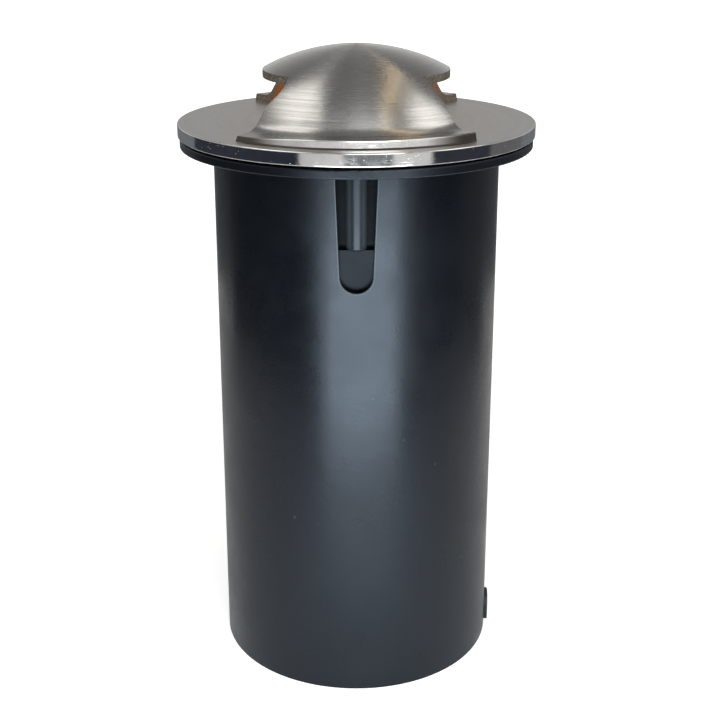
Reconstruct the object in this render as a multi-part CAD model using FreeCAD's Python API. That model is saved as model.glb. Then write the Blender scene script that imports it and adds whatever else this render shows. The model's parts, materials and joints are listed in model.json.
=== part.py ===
import FreeCAD, Part
import math
import os

# In-ground well light, millimetres.  The base of the sleeve is at Z = 0 and Z points up.
# The cover's two legs stand at the front (-Y) and the back (+Y), its two windows face -X and +X,
# and the cable leaves through the foot of the sleeve at +X.

# ---------------------------------------------------------------- driving dimensions

# Sleeve: the black pipe that is buried in the ground
sleeve_radius = 44.25
sleeve_wall = 3.0
sleeve_height = 166.7
flange_radius = 54.4
flange_thickness = 2.6
flange_edge_round = 0.4

# Screw bosses in their pockets, one at the front and one at the back of the sleeve
pocket_top_width = 11.8
pocket_low_width = 9.6
pocket_length = 35.4
pocket_straight_length = 3.0
pocket_depth = 5.75
pocket_lower_depth = 2.75
pocket_wall = 2.0
pocket_edge_round = 0.3
boss_radius = 3.0
boss_stand = 2.4
boss_length = 23.2
boss_end_round = 1.0

# Lamp can
can_side_clearance = 1.0
can_wall = 2.1
can_floor_thickness = 3.0
can_depth = 94.7
can_flange_thickness = 1.8
can_flange_margin = 6.1
recess_clearance = 0.2
ledge_drop = 26.7
ledge_width = 3.9
ledge_thickness = 6.0

# Face: rim, spigot and what it holds
face_gap = 0.8
face_clearance = 0.4
rim_radius = 55.0
rim_thickness = 4.0
rim_edge_round = 0.4
aperture_radius = 27.0
spigot_clearance = 0.1
spigot_wall = 2.1
spigot_length = 14.5
lens_thickness = 5.0
lens_clearance = 0.3
lens_gasket_thickness = 1.0
lens_gasket_width = 2.8
retainer_thickness = 3.0
retainer_width = 4.0
retainer_slot_width = 3.0
retainer_slot_depth = 1.5
face_seal_width = 3.3
face_seal_clearance = 0.4
rubbing_clearance = 0.05

# O-ring and snap ring on the spigot
o_ring_drop = 5.8
o_ring_groove_depth = 1.3
o_ring_groove_width = 2.0
snap_ring_thickness = 1.2
snap_ring_depth = 1.0
snap_ring_drop = 11.8
snap_ring_reach = 0.8
snap_ring_gap_angle = 24.0
snap_relief_depth = 0.9
snap_relief_height = 3.0
groove_clearance = 0.1

# Cover: the two-way dome
cover_radius = 50.0
cover_foot_thickness = 2.4
cover_shell = 2.0
cover_rise = 22.8
cap_curve_radius = 62.1
cap_blend_radius = 24.0
shoulder_curve_radius = 41.5
foot_fillet_radius = 5.1
window_radius = 28.6
leg_half_angle = 42.5
foot_edge_round = 0.4

# Lamp and its gimbal
pivot_height_above_ledge = 3.0
carrier_height = 6.0
carrier_clearance = 0.1
gimbal_swing_clearance = 1.1
gimbal_wall = 2.8
gimbal_below_pivot = 3.0
gimbal_above_pivot = 5.5
lamp_radius = 25.0
lamp_clearance = 0.1
lamp_rim_height = 2.2
lamp_seat_above_pivot = 1.0
lamp_seat_width = 1.3
lamp_length = 40.0
lamp_neck_radius = 9.5
lamp_neck_length = 11.0
lamp_glass_wall = 1.6
lamp_front_glass_thickness = 1.2
capsule_radius = 4.2
capsule_length = 13.0
lamp_pin_radius = 0.75
lamp_pin_length = 7.0
lamp_pin_spacing = 5.3
clip_wire_radius = 0.6
clip_bite = 0.7
clip_gap_angle = 30.0
pivot_pin_radius = 1.25
pivot_pin_reach = 2.6
pivot_running_clearance = 0.05
holder_length = 17.0
holder_width = 11.0
holder_height = 13.0

# Cable gland, terminal block and earth screw in the can's floor
cable_radius = 3.0
cable_clearance = 0.1
gland_offset = 13.0
gland_thread_radius = 6.0
gland_hex_flats = 15.0
gland_hex_height = 6.0
gland_wall = 1.5
gland_lower_length = 8.0
gland_nut_height = 9.5
gland_nut_end = 1.5
gland_nut_clearance = 0.5
locknut_height = 3.0
terminal_clearance = 1.0
terminal_length = 16.0
terminal_width = 18.0
terminal_height = 10.0
terminal_screw_radius = 1.4
terminal_screw_depth = 4.0
terminal_screw_spacing = 8.0
earth_screw_x = -9.0
earth_screw_y = 18.0

# Rubber grommet in the notch at the foot of the sleeve
grommet_lift = 0.8
grommet_height = 8.9
grommet_lip = 0.6
grommet_proud = 1.2

# Screws
screw_radius = 1.5
screw_head_radius = 2.8
screw_head_height = 1.6
screw_clearance = 0.05
hole_clearance = 0.15
can_screw_length = 10.0
insert_radius = 2.3
insert_length = 8.0
cover_screw_inset = 4.0
cover_screw_angle = 25.0
cover_screw_bite = 1.6
carrier_screw_radius = 1.0
carrier_screw_length = 9.0
carrier_screw_head_radius = 1.7
carrier_screw_head_height = 1.4
earth_screw_radius = 2.0
earth_head_radius = 3.5
earth_head_height = 2.4
earth_screw_bite = 2.0
driver_slot_width = 0.8
driver_slot_depth = 0.7

# ---------------------------------------------------------------- sizes that follow

flange_top = sleeve_height + flange_thickness
rim_bottom = flange_top + face_gap
rim_top = rim_bottom + rim_thickness
can_flange_top = rim_bottom - face_clearance
recess_floor = can_flange_top - can_flange_thickness
sleeve_bore = sleeve_radius - sleeve_wall

pocket_floor = sleeve_radius - pocket_depth
pocket_lower_floor = sleeve_radius - pocket_lower_depth
pocket_back = pocket_floor - pocket_wall
boss_centre = pocket_floor + boss_stand
boss_bottom = sleeve_height - boss_length

can_radius = pocket_back - can_side_clearance
can_bore = can_radius - can_wall
can_flange_radius = boss_centre + can_flange_margin
recess_radius = can_flange_radius + recess_clearance
can_bottom = can_flange_top - can_depth
can_floor = can_bottom + can_floor_thickness
ledge_top = can_flange_top - ledge_drop
ledge_bottom = ledge_top - ledge_thickness
ledge_bore = can_bore - ledge_width

spigot_radius = can_bore - spigot_clearance
spigot_bore = spigot_radius - spigot_wall
spigot_bottom = rim_bottom - spigot_length
lens_radius = spigot_bore - lens_clearance
lens_top = rim_bottom - lens_gasket_thickness
lens_bottom = lens_top - lens_thickness
retainer_radius = spigot_bore - screw_clearance

o_ring_level = rim_bottom - o_ring_drop
o_ring_floor = spigot_radius - o_ring_groove_depth
snap_ring_top = rim_bottom - snap_ring_drop
snap_ring_bottom = snap_ring_top - snap_ring_thickness
snap_ring_radius = spigot_radius + snap_ring_reach
snap_relief_top = snap_ring_top + groove_clearance
snap_relief_bottom = snap_relief_top - snap_relief_height

pivot_level = ledge_top + pivot_height_above_ledge
gimbal_bore = lamp_radius + lamp_clearance
gimbal_radius = gimbal_bore + gimbal_wall
carrier_bore = gimbal_radius + gimbal_swing_clearance
carrier_radius = can_bore - carrier_clearance
carrier_screw_centre = (carrier_bore + carrier_radius) / 2
lamp_seat = pivot_level + lamp_seat_above_pivot
lamp_front = lamp_seat + lamp_rim_height
lamp_back = lamp_front - lamp_length
lamp_seat_bore = gimbal_bore - lamp_seat_width

gland_bore = cable_radius + cable_clearance
terminal_offset = holder_length / 2 + terminal_clearance + terminal_length / 2
notch_radius = grommet_height / 2 - grommet_lip
grommet_top = grommet_lift + grommet_height
grommet_centre = grommet_top - grommet_height / 2

full_turn = 360.0
right_angle = 90.0
far = 4 * rim_radius
up = FreeCAD.Vector(0, 0, 1)
front_and_back = (-1, 1)


# ---------------------------------------------------------------- small helpers

def cylinder(radius, bottom, top, x=0.0, y=0.0):
    """Upright cylinder between two levels."""
    return Part.makeCylinder(radius, top - bottom, FreeCAD.Vector(x, y, bottom))


def tube(outer, inner, bottom, top, x=0.0, y=0.0):
    """Upright tube between two levels."""
    return cylinder(outer, bottom, top, x, y).cut(cylinder(inner, bottom, top, x, y))


def block(x_low, x_high, y_low, y_high, z_low, z_high):
    """Box given by its two corners."""
    corner = FreeCAD.Vector(x_low, y_low, z_low)
    return Part.makeBox(x_high - x_low, y_high - y_low, z_high - z_low, corner)


def line(start, end):
    """Straight edge in the XZ plane, from two (radius, level) points."""
    return Part.LineSegment(
        FreeCAD.Vector(start[0], 0, start[1]), FreeCAD.Vector(end[0], 0, end[1])).toShape()


def arc(start, middle, end):
    """Arc edge in the XZ plane, through three (radius, level) points."""
    return Part.Arc(
        FreeCAD.Vector(start[0], 0, start[1]),
        FreeCAD.Vector(middle[0], 0, middle[1]),
        FreeCAD.Vector(end[0], 0, end[1])).toShape()


def revolve(edges, angle=full_turn):
    """Solid of revolution about Z of a closed outline in the XZ plane."""
    face = Part.Face(Part.Wire(edges))
    return face.revolve(FreeCAD.Vector(0, 0, 0), up, angle)


def closed_outline(points):
    """Straight edges round a list of (radius, level) points."""
    return [line(a, b) for a, b in zip(points, points[1:] + points[:1])]


def turned(shape, angle):
    """Copy of a shape, turned about Z."""
    copy = shape.copy()
    copy.rotate(FreeCAD.Vector(0, 0, 0), up, angle)
    return copy


def round_rims(shape, radius, levels):
    """Rounds the circular edges of a turned shape that lie at the given (radius, level) pairs."""
    chosen = []
    for edge in shape.Edges:
        box = edge.BoundBox
        for edge_radius, level in levels:
            flat = box.ZLength < rubbing_clearance and abs(box.ZMin - level) < rubbing_clearance
            reach = max(abs(box.XMin), abs(box.XMax), abs(box.YMin), abs(box.YMax))
            if flat and abs(reach - edge_radius) < rubbing_clearance:
                chosen.append(edge)
    return shape.makeFillet(radius, chosen)


def hexagon(flats, bottom, top, x, y):
    """Upright hexagonal prism."""
    corner_radius = flats / 2 / math.cos(math.radians(full_turn / 12))
    corners = []
    for step in range(7):
        angle = math.radians(step * full_turn / 6)
        corner = (x + corner_radius * math.cos(angle), y + corner_radius * math.sin(angle))
        corners.append(FreeCAD.Vector(corner[0], corner[1], bottom))
    return Part.Face(Part.makePolygon(corners)).extrude(FreeCAD.Vector(0, 0, top - bottom))


def countersunk_screw(x, y, head_face, tip, direction, shank, head_radius, head_height):
    """Countersunk screw with a cross slot; direction is +1 if its tip is above its head."""
    length = abs(tip - head_face)
    body = Part.makeCylinder(shank, length, FreeCAD.Vector(0, 0, 0))
    body = body.fuse(Part.makeCone(head_radius, shank, head_height))
    for half_length, half_width in ((head_radius / 2, driver_slot_width / 2),
                                    (driver_slot_width / 2, head_radius / 2)):
        body = body.cut(block(-half_length, half_length, -half_width, half_width,
                              -driver_slot_depth, driver_slot_depth))
    if direction < 0:
        body.rotate(FreeCAD.Vector(0, 0, 0), FreeCAD.Vector(1, 0, 0), full_turn / 2)
    body.translate(FreeCAD.Vector(x, y, head_face))
    return body


def countersunk_hole(x, y, head_face, end, direction, hole_radius, head_radius, head_height):
    """What a countersunk screw's hole takes away."""
    length = abs(end - head_face)
    hole = Part.makeCylinder(hole_radius, length, FreeCAD.Vector(0, 0, 0))
    hole = hole.fuse(Part.makeCone(head_radius, screw_radius, head_height))
    if direction < 0:
        hole.rotate(FreeCAD.Vector(0, 0, 0), FreeCAD.Vector(1, 0, 0), full_turn / 2)
    hole.translate(FreeCAD.Vector(x, y, head_face))
    return hole


def split_ring(shape, gap_angle, reach, bottom, top):
    """Cuts a gap, centred on -X, out of a ring."""
    half = math.radians(gap_angle / 2)
    corners = [FreeCAD.Vector(0, 0, bottom),
               FreeCAD.Vector(-reach * math.cos(half), reach * math.sin(half), bottom),
               FreeCAD.Vector(-reach * math.cos(half), -reach * math.sin(half), bottom),
               FreeCAD.Vector(0, 0, bottom)]
    wedge = Part.Face(Part.makePolygon(corners)).extrude(FreeCAD.Vector(0, 0, top - bottom))
    return shape.cut(wedge)


# ---------------------------------------------------------------- sleeve

def pocket_outline(side, margin, low_level, depth_from, depth_to):
    """Tapered pocket with a round lower end, as a prism that runs in from the sleeve's skin."""
    top_half = pocket_top_width / 2 + margin
    low_half = pocket_low_width / 2 + margin
    low_centre = sleeve_height - pocket_length + pocket_low_width / 2
    shoulder = sleeve_height - pocket_straight_length
    edges = [line((-low_half, low_centre), (-top_half, shoulder)),
             line((-top_half, shoulder), (-top_half, sleeve_height)),
             line((-top_half, sleeve_height), (top_half, sleeve_height)),
             line((top_half, sleeve_height), (top_half, shoulder)),
             line((top_half, shoulder), (low_half, low_centre)),
             arc((low_half, low_centre), (0, low_centre - low_half), (-low_half, low_centre))]
    prism = Part.Face(Part.Wire(edges)).extrude(FreeCAD.Vector(0, depth_to - depth_from, 0))
    prism.translate(FreeCAD.Vector(0, depth_from, 0))
    prism = prism.common(block(-far, far, -far, far, low_level, sleeve_height))
    if side > 0:
        prism.rotate(FreeCAD.Vector(0, 0, 0), up, full_turn / 2)
    return prism


def boss(side):
    """Screw boss with a round lower end, standing on the pocket's floor."""
    column = cylinder(boss_radius, boss_bottom, sleeve_height, 0, side * boss_centre)
    low_edges = [edge for edge in column.Edges if edge.BoundBox.ZMax < boss_bottom + boss_radius]
    return column.makeFillet(boss_end_round, low_edges)


def pocket_mouth_edges(body):
    """Edges of the two pockets where they meet the sleeve's skin."""
    low = sleeve_height - pocket_length
    chosen = []
    for edge in body.Edges:
        first, last = edge.ParameterRange
        places = [edge.valueAt(first + (last - first) * share) for share in (0.1, 0.5, 0.9)]
        on_skin = all(abs(math.hypot(place.x, place.y) - sleeve_radius) < rubbing_clearance
                      for place in places)
        inside = all(abs(place.x) < pocket_top_width for place in places)
        beside = all(low - rubbing_clearance < place.z < sleeve_height - rubbing_clearance
                     for place in places)
        if on_skin and inside and beside:
            chosen.append(edge)
    return chosen


def grommet_prism(half_width, x_low, x_high, bottom):
    """Prism along X with a round top and a flat foot, at the cable's level."""
    prism = Part.makeCylinder(half_width, x_high - x_low, FreeCAD.Vector(x_low, 0, grommet_centre),
                              FreeCAD.Vector(1, 0, 0))
    return prism.fuse(block(x_low, x_high, -half_width, half_width, bottom, grommet_centre))


def make_sleeve():
    """Open pipe with a top flange, a recess for the can, two boss pockets and the cable notch."""
    skin = cylinder(sleeve_radius, 0, flange_top)
    body = skin.fuse(cylinder(flange_radius, sleeve_height, flange_top))
    body = round_rims(body, flange_edge_round,
                      [(flange_radius, flange_top), (flange_radius, sleeve_height)])
    body = body.cut(cylinder(sleeve_bore, 0, flange_top))
    for side in front_and_back:
        backing = pocket_outline(side, pocket_wall, 0, -sleeve_radius, -pocket_back)
        land = block(-pocket_top_width / 2 - pocket_wall, pocket_top_width / 2 + pocket_wall,
                     min(side * pocket_back, side * sleeve_radius),
                     max(side * pocket_back, side * sleeve_radius), sleeve_height, recess_floor)
        body = body.fuse(backing.fuse(land).common(skin))
    for side in front_and_back:
        low = sleeve_height - pocket_length
        body = body.cut(pocket_outline(side, 0, low, -sleeve_radius, -pocket_lower_floor))
        body = body.cut(pocket_outline(side, 0, boss_bottom, -sleeve_radius, -pocket_floor))
        body = body.fuse(boss(side))
        body = body.cut(cylinder(insert_radius, recess_floor - insert_length, recess_floor,
                                 0, side * boss_centre))
    body = body.cut(cylinder(recess_radius, recess_floor, flange_top))
    screw_tip = can_flange_top - can_screw_length - screw_clearance
    for side in front_and_back:
        body = body.cut(cylinder(screw_radius + screw_clearance, screw_tip, recess_floor,
                                 0, side * boss_centre))
    body = body.removeSplitter()
    body = body.makeFillet(pocket_edge_round, pocket_mouth_edges(body))
    notch = grommet_prism(notch_radius, 0, sleeve_radius, 0)
    return body.cut(notch)


def make_cable_grommet():
    """Rubber grommet that hooks over both faces of the notch."""
    reach = sleeve_radius + grommet_proud
    inner = sleeve_bore - grommet_proud
    neck = grommet_prism(notch_radius, 0, reach, grommet_lift)
    neck = neck.common(tube(reach, inner, 0, grommet_top))
    lips = grommet_prism(grommet_height / 2, 0, reach, grommet_lift)
    outer_lip = lips.common(tube(reach, sleeve_radius, 0, grommet_top))
    inner_lip = lips.common(tube(sleeve_bore, inner, 0, grommet_top))
    bore = Part.makeCylinder(gland_bore, reach, FreeCAD.Vector(0, 0, grommet_centre),
                             FreeCAD.Vector(1, 0, 0))
    return neck.fuse(outer_lip).fuse(inner_lip).cut(bore).removeSplitter()


def make_boss_inserts():
    """Brass inserts moulded into the two bosses."""
    return [tube(insert_radius, screw_radius + screw_clearance, recess_floor - insert_length,
                 recess_floor, 0, side * boss_centre) for side in front_and_back]


def make_can_screws():
    """Two countersunk screws that hold the can's flange down."""
    return [countersunk_screw(0, side * boss_centre, can_flange_top,
                              can_flange_top - can_screw_length, -1,
                              screw_radius, screw_head_radius, screw_head_height)
            for side in front_and_back]


# ---------------------------------------------------------------- lamp can and its fittings

def make_lamp_can():
    """Cup with a flange, a ledge for the gimbal carrier and a relief for the snap ring."""
    lower_radius = ledge_bore + can_wall
    outside = [(0, can_bottom), (lower_radius, can_bottom), (lower_radius, ledge_bottom),
               (can_radius, ledge_bottom), (can_radius, recess_floor),
               (can_flange_radius, recess_floor), (can_flange_radius, can_flange_top),
               (can_bore, can_flange_top), (can_bore, snap_relief_top),
               (can_bore + snap_relief_depth, snap_relief_top),
               (can_bore + snap_relief_depth, snap_relief_bottom),
               (can_bore, snap_relief_bottom), (can_bore, ledge_top), (ledge_bore, ledge_top),
               (ledge_bore, can_floor), (0, can_floor)]
    can = revolve(closed_outline(outside))
    for side in front_and_back:
        can = can.cut(countersunk_hole(0, side * boss_centre, can_flange_top, recess_floor, -1,
                                       screw_radius + hole_clearance, screw_head_radius,
                                       screw_head_height))
        can = can.cut(cylinder(carrier_screw_radius + screw_clearance,
                               ledge_top + carrier_height - carrier_screw_length
                               - screw_clearance,
                               ledge_top, side * carrier_screw_centre, 0))
    can = can.cut(cylinder(gland_thread_radius + hole_clearance, can_bottom, can_floor,
                           gland_offset, 0))
    return can.cut(cylinder(earth_screw_radius + screw_clearance,
                            can_floor - earth_screw_bite - screw_clearance, can_floor,
                            earth_screw_x, earth_screw_y))


def make_gland_body():
    """Hexagonal gland body, its thread through the can's floor."""
    hex_bottom = can_bottom - gland_hex_height
    low_end = hex_bottom - gland_lower_length
    top_end = can_floor + locknut_height
    body = hexagon(gland_hex_flats, hex_bottom, can_bottom, gland_offset, 0)
    body = body.fuse(cylinder(gland_thread_radius, low_end, top_end, gland_offset, 0))
    body = body.cut(cylinder(gland_bore, low_end, top_end, gland_offset, 0))
    return body.cut(cylinder(gland_thread_radius - gland_wall, low_end, hex_bottom,
                             gland_offset, 0))


def make_gland_seal():
    """Rubber bush that the gland squeezes round the cable."""
    hex_bottom = can_bottom - gland_hex_height
    return tube(gland_thread_radius - gland_wall, gland_bore, hex_bottom - gland_lower_length,
                hex_bottom, gland_offset, 0)


def make_gland_nut():
    """Cap nut of the gland."""
    top = can_bottom - gland_hex_height - gland_nut_clearance
    bottom = top - gland_nut_height
    nut = hexagon(gland_hex_flats, bottom, top, gland_offset, 0)
    low_end = can_bottom - gland_hex_height - gland_lower_length
    seat = max(bottom + gland_nut_end, low_end)
    nut = nut.cut(cylinder(gland_thread_radius + screw_clearance, seat, top, gland_offset, 0))
    return nut.cut(cylinder(gland_bore, bottom, top, gland_offset, 0))


def make_gland_locknut():
    """Nut inside the can that holds the gland."""
    nut = hexagon(gland_hex_flats, can_floor, can_floor + locknut_height, gland_offset, 0)
    return nut.cut(cylinder(gland_thread_radius + screw_clearance, can_floor,
                            can_floor + locknut_height, gland_offset, 0))


def terminal_screw_places():
    """Four (x, y) places of the terminal screws."""
    half = terminal_screw_spacing / 2
    return [(-terminal_offset + dx * half, dy * half) for dx in (-1, 1) for dy in (-1, 1)]


def make_terminal_block():
    """Terminal block on the can's floor, with wire holes and screw wells."""
    body = block(-terminal_offset - terminal_length / 2, -terminal_offset + terminal_length / 2,
                 -terminal_width / 2, terminal_width / 2, can_floor, can_floor + terminal_height)
    top = can_floor + terminal_height
    for x, y in terminal_screw_places():
        body = body.cut(cylinder(terminal_screw_radius + screw_clearance,
                                 top - terminal_screw_depth, top, x, y))
    wire_level = can_floor + (terminal_height - terminal_screw_depth) / 2
    for y in (-terminal_screw_spacing / 2, terminal_screw_spacing / 2):
        start = FreeCAD.Vector(-terminal_offset - terminal_length / 2, y, wire_level)
        body = body.cut(Part.makeCylinder(terminal_screw_radius, terminal_length, start,
                                          FreeCAD.Vector(1, 0, 0)))
    return body


def make_terminal_screws():
    """Four slotted terminal screws."""
    top = can_floor + terminal_height
    screws = []
    for x, y in terminal_screw_places():
        screw = cylinder(terminal_screw_radius, top - terminal_screw_depth,
                         top - driver_slot_depth, x, y)
        screws.append(screw.cut(block(x - terminal_screw_radius, x + terminal_screw_radius,
                                      y - driver_slot_width / 2, y + driver_slot_width / 2,
                                      top - 2 * driver_slot_depth, top)))
    return screws


def make_earth_screw():
    """Pan-head earth screw in the can's floor."""
    head_top = can_floor + earth_head_height
    screw = cylinder(earth_head_radius, can_floor, head_top, earth_screw_x, earth_screw_y)
    screw = screw.fuse(cylinder(earth_screw_radius, can_floor - earth_screw_bite, can_floor,
                                earth_screw_x, earth_screw_y))
    return screw.cut(block(earth_screw_x - earth_head_radius, earth_screw_x + earth_head_radius,
                           earth_screw_y - driver_slot_width / 2,
                           earth_screw_y + driver_slot_width / 2,
                           head_top - driver_slot_depth, head_top))


# ---------------------------------------------------------------- gimbal and lamp

def pivot_rod(radius, inner, outer, side):
    """Rod along Y at the pivot's level, between two distances from the axis."""
    start = FreeCAD.Vector(0, side * inner, pivot_level)
    return Part.makeCylinder(radius, outer - inner, start, FreeCAD.Vector(0, side, 0))


def make_gimbal_carrier():
    """Ring screwed down on the can's ledge; it carries the two pivot pins."""
    top = ledge_top + carrier_height
    ring = tube(carrier_radius, carrier_bore, ledge_top, top)
    for side in front_and_back:
        ring = ring.cut(pivot_rod(pivot_pin_radius + pivot_running_clearance, carrier_bore / 2,
                                  can_bore, side))
        x = side * carrier_screw_centre
        ring = ring.cut(cylinder(carrier_screw_radius + hole_clearance, ledge_top, top, x, 0))
        ring = ring.cut(cylinder(carrier_screw_head_radius + hole_clearance,
                                 top - carrier_screw_head_height, top, x, 0))
    return ring


def make_carrier_screws():
    """Two cheese-head screws that hold the carrier on its ledge."""
    top = ledge_top + carrier_height
    screws = []
    for side in front_and_back:
        x = side * carrier_screw_centre
        screw = cylinder(carrier_screw_radius, top - carrier_screw_length, top, x, 0)
        screw = screw.fuse(cylinder(carrier_screw_head_radius, top - carrier_screw_head_height,
                                    top, x, 0))
        screws.append(screw.cut(block(x - carrier_screw_head_radius,
                                      x + carrier_screw_head_radius, -driver_slot_width / 2,
                                      driver_slot_width / 2, top - driver_slot_depth, top)))
    return screws


def make_gimbal_ring():
    """Tilting ring with a seat for the lamp's rim and a groove for its clip."""
    bottom = pivot_level - gimbal_below_pivot
    top = pivot_level + gimbal_above_pivot
    ring = tube(gimbal_radius, lamp_seat_bore, bottom, top)
    ring = ring.cut(cylinder(gimbal_bore, lamp_seat, top))
    groove_centre = gimbal_bore + clip_bite - clip_wire_radius
    ring = ring.cut(Part.makeTorus(groove_centre, clip_wire_radius + screw_clearance,
                                   FreeCAD.Vector(0, 0, lamp_front + clip_wire_radius)))
    for side in front_and_back:
        ring = ring.cut(pivot_rod(pivot_pin_radius, lamp_seat_bore, gimbal_radius, side))
    return ring


def make_pivot_pins():
    """Two pins pressed in the gimbal ring, running in the carrier."""
    inner = gimbal_radius - pivot_pin_reach
    outer = carrier_radius - carrier_clearance
    return [pivot_rod(pivot_pin_radius, inner, outer, side) for side in front_and_back]


def make_lamp_clip():
    """Split wire ring that keeps the lamp in its seat."""
    level = lamp_front + clip_wire_radius
    centre_radius = gimbal_bore + clip_bite - clip_wire_radius
    ring = Part.makeTorus(centre_radius, clip_wire_radius, FreeCAD.Vector(0, 0, level))
    return split_ring(ring, clip_gap_angle, gimbal_radius * 2, level - 2 * clip_wire_radius,
                      level + 2 * clip_wire_radius)


def reflector_arc(start, end):
    """Bowl-shaped edge between two (radius, level) points."""
    bulge = 0.16
    middle = ((start[0] + end[0]) / 2 - bulge * (end[1] - start[1]),
              (start[1] + end[1]) / 2 - bulge * (start[0] - end[0]))
    return arc(start, middle, end)


def make_lamp_body():
    """Glass reflector of the 50 mm spot lamp, with its neck."""
    neck_top = lamp_back + lamp_neck_length
    bowl_edge = lamp_seat_bore - lamp_clearance
    mouth = bowl_edge - lamp_glass_wall
    inner_floor = neck_top + lamp_glass_wall
    glass_seat = lamp_front - lamp_front_glass_thickness
    edges = [line((0, lamp_back), (lamp_neck_radius, lamp_back)),
             line((lamp_neck_radius, lamp_back), (lamp_neck_radius, neck_top)),
             reflector_arc((lamp_neck_radius, neck_top), (bowl_edge, lamp_seat)),
             line((bowl_edge, lamp_seat), (lamp_radius, lamp_seat)),
             line((lamp_radius, lamp_seat), (lamp_radius, lamp_front)),
             line((lamp_radius, lamp_front), (bowl_edge, lamp_front)),
             line((bowl_edge, lamp_front), (bowl_edge, glass_seat)),
             line((bowl_edge, glass_seat), (mouth, glass_seat)),
             reflector_arc((lamp_neck_radius - lamp_glass_wall, inner_floor),
                           (mouth, glass_seat)),
             line((lamp_neck_radius - lamp_glass_wall, inner_floor), (0, inner_floor)),
             line((0, inner_floor), (0, lamp_back))]
    return revolve(Part.__sortEdges__(edges))


def make_lamp_capsule():
    """Light source inside the reflector."""
    bottom = lamp_back + lamp_neck_length + lamp_glass_wall
    body = cylinder(capsule_radius, bottom, bottom + capsule_length)
    tip = Part.makeSphere(capsule_radius, FreeCAD.Vector(0, 0, bottom + capsule_length))
    return body.fuse(tip).removeSplitter()


def make_lamp_glass():
    """Front glass of the lamp."""
    return cylinder(lamp_seat_bore - lamp_clearance - screw_clearance,
                    lamp_front - lamp_front_glass_thickness, lamp_front)


def make_lamp_pins():
    """Two contact pins under the lamp's neck."""
    return [cylinder(lamp_pin_radius, lamp_back - lamp_pin_length, lamp_back,
                     side * lamp_pin_spacing / 2, 0) for side in front_and_back]


def make_lampholder():
    """Ceramic lampholder pushed on the pins."""
    holder = block(-holder_length / 2, holder_length / 2, -holder_width / 2, holder_width / 2,
                   lamp_back - holder_height, lamp_back)
    for side in front_and_back:
        holder = holder.cut(cylinder(lamp_pin_radius + screw_clearance,
                                     lamp_back - lamp_pin_length - screw_clearance, lamp_back,
                                     side * lamp_pin_spacing / 2, 0))
    return holder


# ---------------------------------------------------------------- face

def cover_screw_places():
    """Four (x, y) places of the cover's screws, two in each foot."""
    distance = cover_radius - cover_screw_inset
    places = []
    for side in front_and_back:
        for turn in (-cover_screw_angle, cover_screw_angle):
            angle = math.radians(side * right_angle + turn)
            places.append((distance * math.cos(angle), distance * math.sin(angle)))
    return places


def make_rim():
    """Stainless face ring with the spigot that plugs into the can."""
    outline = [(aperture_radius, rim_bottom), (spigot_bore, rim_bottom),
               (spigot_bore, spigot_bottom), (spigot_radius, spigot_bottom),
               (spigot_radius, rim_bottom), (rim_radius, rim_bottom), (rim_radius, rim_top),
               (aperture_radius, rim_top)]
    ring = revolve(closed_outline(outline))
    ring = round_rims(ring, rim_edge_round, [(rim_radius, rim_top), (rim_radius, rim_bottom)])
    half_width = o_ring_groove_width / 2
    ring = ring.cut(tube(can_bore, o_ring_floor, o_ring_level - half_width,
                         o_ring_level + half_width))
    ring = ring.cut(tube(can_bore, spigot_radius - snap_ring_depth,
                         snap_ring_bottom - groove_clearance, snap_ring_top + groove_clearance))
    for x, y in cover_screw_places():
        ring = ring.cut(countersunk_hole(x, y, rim_bottom, rim_top, 1,
                                         screw_radius + hole_clearance, screw_head_radius,
                                         screw_head_height))
    return ring


def arc_point(centre, radius, angle):
    """Point on a circle in the XZ plane; the angle is measured from straight up, in radians."""
    return (centre[0] + radius * math.sin(angle), centre[1] + radius * math.cos(angle))


def cover_section():
    """Half section of the full dome: cap arc, shoulder arc, foot fillet and flat foot."""
    foot_top = rim_top + cover_foot_thickness
    cap_centre = (0.0, rim_top + cover_rise - cap_curve_radius)
    blend = math.asin(cap_blend_radius / cap_curve_radius)
    knee = arc_point(cap_centre, cap_curve_radius, blend)
    shoulder_centre = (knee[0] - shoulder_curve_radius * math.sin(blend),
                       knee[1] - shoulder_curve_radius * math.cos(blend))
    fillet_rise = foot_top + foot_fillet_radius - shoulder_centre[1]
    reach = shoulder_curve_radius + foot_fillet_radius
    fillet_run = math.sqrt(reach ** 2 - fillet_rise ** 2)
    meeting = math.atan2(fillet_run, fillet_rise)
    fillet_centre = (shoulder_centre[0] + fillet_run, foot_top + foot_fillet_radius)
    inner_cap = cap_curve_radius - cover_shell
    inner_shoulder = shoulder_curve_radius - cover_shell
    foot_rise = rim_top - shoulder_centre[1]
    inner_end = math.acos(foot_rise / inner_shoulder)

    outer_knee = arc_point(shoulder_centre, shoulder_curve_radius, blend)
    outer_end = arc_point(shoulder_centre, shoulder_curve_radius, meeting)
    fillet_end = (fillet_centre[0], foot_top)
    fillet_middle = arc_point(fillet_centre, foot_fillet_radius, math.pi + meeting / 2)
    inner_foot = arc_point(shoulder_centre, inner_shoulder, inner_end)
    inner_knee = arc_point(shoulder_centre, inner_shoulder, blend)
    apex = (0.0, rim_top + cover_rise)
    inner_apex = (0.0, apex[1] - cover_shell)
    return [arc(apex, arc_point(cap_centre, cap_curve_radius, blend / 2), outer_knee),
            arc(outer_knee, arc_point(shoulder_centre, shoulder_curve_radius,
                                      (blend + meeting) / 2), outer_end),
            arc(outer_end, fillet_middle, fillet_end),
            line(fillet_end, (cover_radius, foot_top)),
            line((cover_radius, foot_top), (cover_radius, rim_top)),
            line((cover_radius, rim_top), inner_foot),
            arc(inner_foot, arc_point(shoulder_centre, inner_shoulder,
                                      (blend + inner_end) / 2), inner_knee),
            arc(inner_knee, arc_point(cap_centre, inner_cap, blend / 2), inner_apex),
            line(inner_apex, apex)]


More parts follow.
